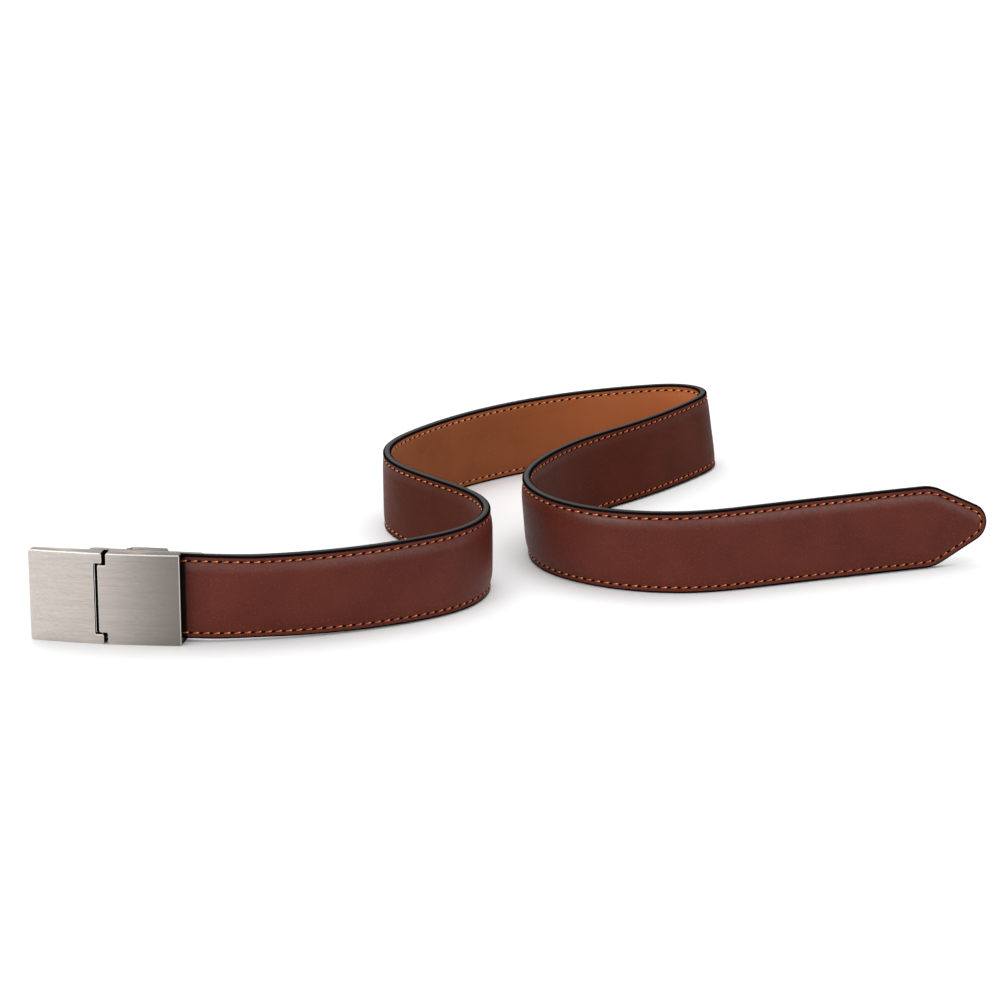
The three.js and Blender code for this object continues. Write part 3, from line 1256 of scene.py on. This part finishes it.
@dataclass
class Stitching:
    """Row of stitches round the strap, through both layers, with very dark pellets as painted shade
    in the needle's holes.
    """

    route: Route
    outline: Outline
    seam: float = 2.6
    pitch: float = 4.05
    first: float = 1.0
    length: float = 3.0
    half_width: float = 0.28
    half_height: float = 0.25
    height: float = 1.64
    dip: float = 0.24
    slant: float = 8.0
    # Size and height of the pellet that paints the shade in each needle hole.
    hole_length: float = 2.1
    hole_width: float = 1.3
    hole_height: float = 1.54
    hole_dome: float = 0.12
    seed: int = 5
    sides: int = 8
    rings: int = 6

    def spots(self) -> list[tuple[Spot, bool]]:
        """Finds the holes, evenly spaced from the buckle round the nose and back.

        Returns:
            Each hole's place on the lower half, and whether it is on the upper one.
        """
        run = self.outline.run(self.seam)
        count = round((run - self.first) / self.pitch)
        step = (run - self.first) / count
        marks = [self.first + step * i for i in range(count + 1)]
        lower = [(self.outline.spot(p, self.seam), False) for p in marks]
        upper = [(self.outline.spot(p, self.seam), True) for p in marks[-2::-1]]
        return lower + upper

    @staticmethod
    def flat(spot: tuple[Spot, bool]) -> Vector:
        """Gives a hole's s and w as a vector with no o."""
        return Vector((spot[0].s, 0.0, -spot[0].w if spot[1] else spot[0].w))

    def pellet(self, size: Vector, dip: float, side: Side) -> bpy.types.Mesh:
        """Makes one rounded pellet along x, whose ends may dip.

        Args:
            size: Half of its length, height and width.
            dip: How far its ends go down.
            side: The side of the strap that it is for.

        Returns:
            Its mesh, with the attributes along and shade.
        """
        bm = bmesh.new()
        spin = Matrix.Rotation(math.pi / 2, 4, "Y")
        bmesh.ops.create_uvsphere(
            bm, u_segments=self.sides, v_segments=self.rings, radius=1.0, matrix=spin
        )
        along = bm.verts.layers.float.new("along")
        bm.verts.layers.float.new("shade")
        for vert in bm.verts:
            x, y, z = vert.co
            full = math.sqrt(1 + x * x)
            vert[along] = -x * side.value
            vert.co = (x * size.x, size.y * y * full - dip * x**4, z * size.z * full)
        return mesh_of(bm, "pellet")

    @staticmethod
    def lay(bm: bmesh.types.BMesh, pellet: bpy.types.Mesh, place: Matrix, shade: float) -> None:
        """Adds a pellet to a mesh.

        Args:
            bm: The mesh.
            pellet: The pellet.
            place: Its place on the flat strap.
            shade: How light it is, from 0 to 1.
        """
        copy = pellet.copy()
        copy.transform(place)
        copy.attributes["shade"].data.foreach_set("value", [shade] * len(copy.vertices))
        bm.from_mesh(copy)
        bpy.data.meshes.remove(copy)

    @staticmethod
    def spread(middle: Vector, along: Vector, height: float, side: Side) -> Matrix:
        """Works out the place of a pellet on a side of the flat strap.

        Args:
            middle: Its middle, with no o.
            along: Its direction, of length 1.
            height: Height of its middle over the strap's middle.
            side: The side of the strap.

        Returns:
            The place.
        """
        up = Vector((0.0, float(side.value), 0.0))
        across = Vector((-along.z, 0.0, along.x))
        place = Matrix((along, up, across)).transposed().to_4x4()
        place.translation = middle + up * height
        return place

    def build(
        self,
        bench: Bench,
        name: str,
        side: Side,
        start: float,
        end: float,
        threads: bpy.types.Material,
        holes: bpy.types.Material,
    ) -> None:
        """Builds the stitches, and the painted shade in their holes, of one stretch of a side.

        Args:
            bench: Where they go.
            name: The stitches' name.
            side: The side of the strap.
            start: Where the stretch starts.
            end: Where it ends.
            threads: The threads' material.
            holes: The material of the painted shade in the holes.
        """
        rng = random.Random(self.seed)
        marks = self.spots()
        stitches, pits = bmesh.new(), bmesh.new()
        turn = Matrix.Rotation(math.radians(self.slant) * side.value, 3, "Y")
        body = Vector((self.length / 2, self.half_height, self.half_width))
        pit = Vector((self.hole_length / 2, self.hole_dome, self.hole_width / 2))
        thread, prick = self.pellet(body, self.dip, side), self.pellet(pit, 0.0, side)
        for here, there in zip(marks, marks[1:]):
            a, b = self.flat(here), self.flat(there)
            middle, along = (a + b) / 2, (b - a).normalized()
            shade = rng.random()
            if not start <= middle.x < end:
                continue
            if here[1]:
                along = -along
            self.lay(stitches, thread, self.spread(middle, turn @ along, self.height, side), shade)
            # Painted shade: a very dark pellet in each needle hole.
            self.lay(pits, prick, self.spread(a, along, self.hole_height, side), shade)
        for bm, piece, material in ((stitches, name, threads), (pits, name + "_hole_painted_shade", holes)):
            bmesh.ops.recalc_face_normals(bm, faces=bm.faces[:])
            self.route.wrap(bm)
            bench.publish(bm, piece, [material], crease=80.0)


@dataclass
class Face:
    """Two-part bowed face of the buckle, in front of its frame."""

    bench: Bench
    length: float = 61.0
    height: float = 37.5
    bow: float = 1.74
    skin: float = 1.4
    wall: float = 0.95
    rim: float = 5.2
    knuckle: float = 3.1
    body_end: float = 26.8
    ear_end: float = 30.2
    ear_height: float = 4.1
    tongue_end: float = 28.3
    ledge: float = 31.7
    tongue_gap: float = 0.7
    outer_round: float = 1.6
    inner_round: float = 0.55
    bevel: float = 0.32
    # Painted shade in the seam: faces deeper than this behind the front, within the seam's reach
    # and insets.
    shown: float = 0.12
    seam_reach: float = 1.0
    seam_inset: float = 0.0475
    knuckle_inset: float = 0.3
    strip: float = 1.5
    corner_segments: int = 5
    bevel_segments: int = 3

    def front(self, x: float) -> float:
        """Gives the y of the bowed front at x."""
        radius = (self.length**2 / 4 + self.bow**2) / (2 * self.bow)
        return radius - math.sqrt(radius**2 - (x - self.length / 2) ** 2)

    def plate(
        self, corners: Sequence[Point], knuckle: Callable[[float, float], bool]
    ) -> bmesh.types.BMesh:
        """Makes one plate: skin, rims above and below, and its knuckle.

        Args:
            corners: x, z and radius of each corner of the outline.
            knuckle: Says whether a place is on the knuckle.

        Returns:
            The plate in the buckle's millimetres, its bevels with material 1 and the painted shade
            of its seam with material 2.
        """
        bm = bmesh.new()
        verts = [bm.verts.new((x, 0.0, z)) for x, z, _ in corners]
        bm.faces.new(verts)
        for vert, (_, _, radius) in zip(verts, corners):
            bevel(bm, [vert], radius, self.corner_segments, "VERTICES")
        low = min(x for x, _, _ in corners)
        high = max(x for x, _, _ in corners)
        count = round((high - low) / self.strip)
        for i in range(1, count):
            self._slice(bm, (low + (high - low) * i / count, 0, 0), (1, 0, 0))
        for z in (self.wall, self.height - self.wall):
            self._slice(bm, (0, 0, z), (0, 0, 1))
        self._raise(bm, bm.faces[:], self.skin, keep=True)

        def on_rim(z: float) -> bool:
            """Says whether a height is on the upper or lower rim."""
            return z < self.wall or z > self.height - self.wall

        both = []
        for face in self._at(bm, self.skin):
            x, _, z = face.calc_center_median()
            if on_rim(z) or knuckle(x, z):
                both.append(face)
        self._raise(bm, both, self.knuckle - self.skin)
        rims = [f for f in self._at(bm, self.knuckle) if on_rim(f.calc_center_median().z)]
        self._raise(bm, rims, self.rim - self.knuckle)
        bmesh.ops.recalc_face_normals(bm, faces=bm.faces[:])
        outline = [e for e in bm.edges if self._on_front_outline(e)]
        for vert in bm.verts:
            if vert.co.y <= self.skin + NEAR:
                vert.co.y += self.front(vert.co.x)
        for face in bevel(bm, outline, self.bevel, self.bevel_segments):
            face.material_index = 1
        # Painted shade: the seam's inner walls get material 2, the very dark one.
        start, end = self.body_end - self.seam_reach, self.ledge + self.seam_reach
        for face in bm.faces:
            x, y, z = face.calc_center_median()
            seam = start < x < end and self.seam_inset < z < self.height - self.seam_inset
            if seam and y > self.front(x) + self.shown:
                face.material_index = 2
        return bm

    @staticmethod
    def _slice(bm: bmesh.types.BMesh, place: Point, normal: Point) -> None:
        """Cuts every face along a plane."""
        geom = everything(bm)
        bmesh.ops.bisect_plane(bm, geom=geom, dist=NEAR / 10, plane_co=place, plane_no=normal)

    @staticmethod
    def _at(bm: bmesh.types.BMesh, y: float) -> list[bmesh.types.BMFace]:
        """Lists the faces that lie at y."""
        return [f for f in bm.faces if all(abs(v.co.y - y) < NEAR for v in f.verts)]

    @staticmethod
    def _raise(
        bm: bmesh.types.BMesh, faces: list[bmesh.types.BMFace], depth: float, keep: bool = False
    ) -> None:
        """Extrudes faces backwards, and keeps them where they are a single sheet."""
        for vert in extrude(bm, faces, keep):
            vert.co.y += depth

    @staticmethod
    def _on_front_outline(edge: bmesh.types.BMEdge) -> bool:
        """Says whether an edge is where the flat front meets the sides."""
        flat = [abs(face.normal.y) > 0.9 for face in edge.link_faces]
        return all(abs(v.co.y) < NEAR for v in edge.verts) and flat.count(True) == 1

    def build(self, finishes: Finishes) -> None:
        """Builds both plates.

        Args:
            finishes: The materials.
        """
        top, low, r = self.height, self.ear_height, self.inner_round
        left = [
            (0.0, 0.0, self.outer_round),
            (self.ear_end, 0.0, r),
            (self.ear_end, low, r),
            (self.body_end, low, r),
            (self.body_end, top - low, r),
            (self.ear_end, top - low, r),
            (self.ear_end, top, r),
            (0.0, top, self.outer_round),
        ]
        low += self.tongue_gap
        right = [
            (self.ledge, 0.0, r),
            (self.length, 0.0, r),
            (self.length, top, r),
            (self.ledge, top, r),
            (self.ledge, top - low, r),
            (self.tongue_end, top - low, r),
            (self.tongue_end, low, r),
            (self.ledge, low, r),
        ]
        # The third material paints the shade in the seam.
        materials = [finishes.brushed, finishes.polished, finishes.painted_shade_metal]
        tongue = self.ledge - self.knuckle_inset
        for name, corners, body, node, knuckle in (
            ("face_left", left, Body.FACE, "face_plate_left", lambda x, z: x > self.body_end),
            ("face_right", right, Body.BELT, "face_plate_right", lambda x, z: x < tongue),
        ):
            bm = self.plate(corners, knuckle)
            self.bench.settle(bm)
            self.bench.publish(
                bm, name, materials, body, Slot.NICKEL, [node], METAL_CREASE, flatten=True
            )


@dataclass(frozen=True)
class Eased:
    """Solid of the frame whose sharp edges are eased, under its own name."""

    node: str
    name: str
    body: Body
    slot: Slot
    ease: float = 0.16
    sharp: float = 35.0
    level: float = 0.8
    # Painted shade: faces, and eased edges, that look more than this towards one of the given sides
    # get the very dark material.
    painted_shade_facing: float = 0.6
    eased_painted_shade_facing: float = 0.4
    painted_shade_sides: tuple[Point, ...] = ()

    def build(self, bench: Bench, materials: Sequence[bpy.types.Material]) -> None:
        """Builds the eased copy.

        Args:
            bench: Where it goes.
            materials: One material, or the faces', the eased edges' and the painted shade's.
        """
        bm = bmesh.new()
        bm.from_mesh(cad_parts[self.node].data)
        bmesh.ops.remove_doubles(bm, verts=bm.verts[:], dist=10 * NEAR * MM)
        level, limit = math.radians(self.level), math.radians(self.sharp)
        bmesh.ops.dissolve_limit(bm, angle_limit=level, verts=bm.verts[:], edges=bm.edges[:])
        bm.normal_update()
        for face in bm.faces:
            # Painted shade on faces that look towards a shaded side.
            face.material_index = 2 if self._has_painted_shade(face, self.painted_shade_facing) else 0
        sharp = [e for e in bm.edges if e.is_manifold and e.calc_face_angle() > limit]
        shiny = min(1, len(materials) - 1)
        for face in bevel(bm, sharp, self.ease * MM, 2, clamp=True):
            face.material_index = 2 if self._has_painted_shade(face, self.eased_painted_shade_facing) else shiny
        bench.publish(
            bm, self.name, materials, self.body, self.slot, [self.node], METAL_CREASE, flatten=True
        )

    def _has_painted_shade(self, face: bmesh.types.BMFace, least: float) -> bool:
        """Says whether a face looks at least that far towards a side that gets painted shade."""
        return any(face.normal.dot(way) > least for way in self.painted_shade_sides)


@dataclass
class Strap:
    """Strap of two stitched leather layers, with its painted edge and its track."""

    bench: Bench
    route: Route
    outline: Outline = field(default_factory=Outline)
    front_join: float = 0.26
    tail_join: float = 0.64
    join_gap: float = 0.3
    full_crown: float = 0.9
    flat_crown: float = 0.3
    track_start: float = 667.25
    track_end: float = 826.0
    track_gap: float = 0.3

    def build(self, finishes: Finishes) -> None:
        """Builds every piece of the strap.

        Args:
            finishes: The materials.
        """
        length = self.outline.length
        first, second, gap = self.front_join * length, self.tail_join * length, self.join_gap / 2
        brown, tan, matte_brown_painted_shade = finishes.brown, finishes.tan, finishes.matte_brown_painted_shade
        full, flat = self.full_crown, self.flat_crown
        right, left = Side.RIGHT, Side.LEFT
        groove = TrackGroove(self.track_start - self.track_gap, self.track_end + self.track_gap)
        for name, side, start, end, slot, finish, crown in (
            ("front_leather", right, 0.0, first - gap, Slot.BROWN, brown, full),
            ("tan_panel", right, first + gap, second - gap, Slot.TAN, tan, flat),
            ("tail_leather", right, second + gap, length, Slot.BROWN, brown, full),
            ("inner_leather", left, 0.0, length, Slot.BROWN, matte_brown_painted_shade, flat),
        ):
            layer = Layer(self.route, self.outline, name, side, start, end, slot, finish, crown)
            layer.build(self.bench, groove.cut if side is left else None)
        EdgePaint(self.route, self.outline).build(self.bench, finishes.paint)
        stitching = Stitching(self.route, self.outline)
        for name, side, start, end, thread in (
            ("stitches_front", right, 0.0, first, finishes.orange),
            ("stitches_tan", right, first, second, finishes.cream),
            ("stitches_tail", right, second, length + 1, finishes.orange),
            ("stitches_inner", left, 0.0, length + 1, finishes.orange),
        ):
            stitching.build(self.bench, name, side, start, end, thread, finishes.hole)
        Eased("ratchet_track", "track_strip", Body.BELT, Slot.TRACK, 0.08).build(
            self.bench, [finishes.plastic]
        )


@dataclass
class Buckle:
    """Buckle: its face, the frame behind it, the lever, the clamp and the pins."""

    bench: Bench

    def build(self, finishes: Finishes) -> None:
        """Builds every piece of the buckle.

        Args:
            finishes: The materials.
        """
        Face(self.bench).build(finishes)
        metal = [finishes.brushed, finishes.polished, finishes.painted_shade_metal]
        # Painted shade: faces of the frame and the lever that look to the front or to the right
        # turn very dark.
        front, right = (0.0, -1.0, 0.0), (1.0, 0.0, 0.0)
        for eased in (
            Eased("buckle_frame", "frame_body", Body.BELT, Slot.NICKEL, painted_shade_sides=(front, right)),
            Eased("release_lever", "lever_body", Body.LEVER, Slot.NICKEL, painted_shade_sides=(front, right)),
            Eased("clamp_flap", "flap_body", Body.CLAMP, Slot.NICKEL, 0.1),
        ):
            eased.build(self.bench, metal)
        for node in ("face_hinge_pin", "lever_pin", "clamp_pin"):
            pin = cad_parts[node]
            pin.data.materials.clear()
            pin.data.materials.append(finishes.steel)
            LOG.info("%s: drawn steel on the solid", node)


@dataclass(frozen=True)
class Lamp:
    """Soft rectangular lamp."""

    name: str
    place: Point
    aim: Point
    width: float
    depth: float
    power: float

    def build(self) -> None:
        """Hangs the lamp."""
        data = bpy.data.lights.new(self.name, "AREA")
        data.shape = "RECTANGLE"
        data.size, data.size_y, data.energy = self.width, self.depth, self.power
        lamp = add(self.name, data)
        lamp.location = self.place
        way = Vector(self.aim) - Vector(self.place)
        lamp.rotation_euler = way.to_track_quat("-Z", "Y").to_euler()


@dataclass(frozen=True)
class Studio:
    """White floor, soft light and the photograph's camera."""

    camera_place: Point = (0.1835, -1.3843, 0.4468)
    camera_yaw: float = 8.387
    camera_pitch: float = 16.955
    lens: float = 122.8
    sensor: float = 36.0
    floor_size: float = 12.0
    lamps: tuple[Lamp, ...] = (
        Lamp("top_lamp", (0.0, 0.35, 2.4), (0.0, 0.1, 0.0), 2.4, 2.4, 47.0),
        Lamp("left_lamp", (-1.5, -1.6, 1.1), (-0.1, 0.0, 0.0), 1.4, 1.2, 6.0),
    )

    def build(self) -> None:
        """Builds the floor, the lamps, the world and the camera."""
        bm = bmesh.new()
        bmesh.ops.create_grid(bm, x_segments=1, y_segments=1, size=self.floor_size / 2)
        mesh = mesh_of(bm, "studio_floor")
        mesh.materials.append(FloorFinish().make())
        floor = add("studio_floor", mesh)
        for lamp in self.lamps:
            lamp.build()
        bpy.context.scene.world = SkyFinish().make()
        bpy.context.scene.view_settings.view_transform = "Standard"
        data = bpy.data.cameras.new("photo_camera")
        data.lens, data.sensor_width = self.lens, self.sensor
        camera = add("photo_camera", data)
        camera.location = self.camera_place
        turn = (math.radians(90 - self.camera_pitch), 0.0, math.radians(self.camera_yaw))
        camera.rotation_euler = turn
        bpy.context.scene.camera = camera


def main() -> None:
    """Builds the studio, the strap and the buckle in order."""
    logging.basicConfig(level=logging.INFO, format="%(message)s")
    Studio().build()
    bench = Bench()
    finishes = Finishes()
    Strap(bench, Route(bench)).build(finishes)
    Buckle(bench).build(finishes)


if __name__ == "__main__":
    main()
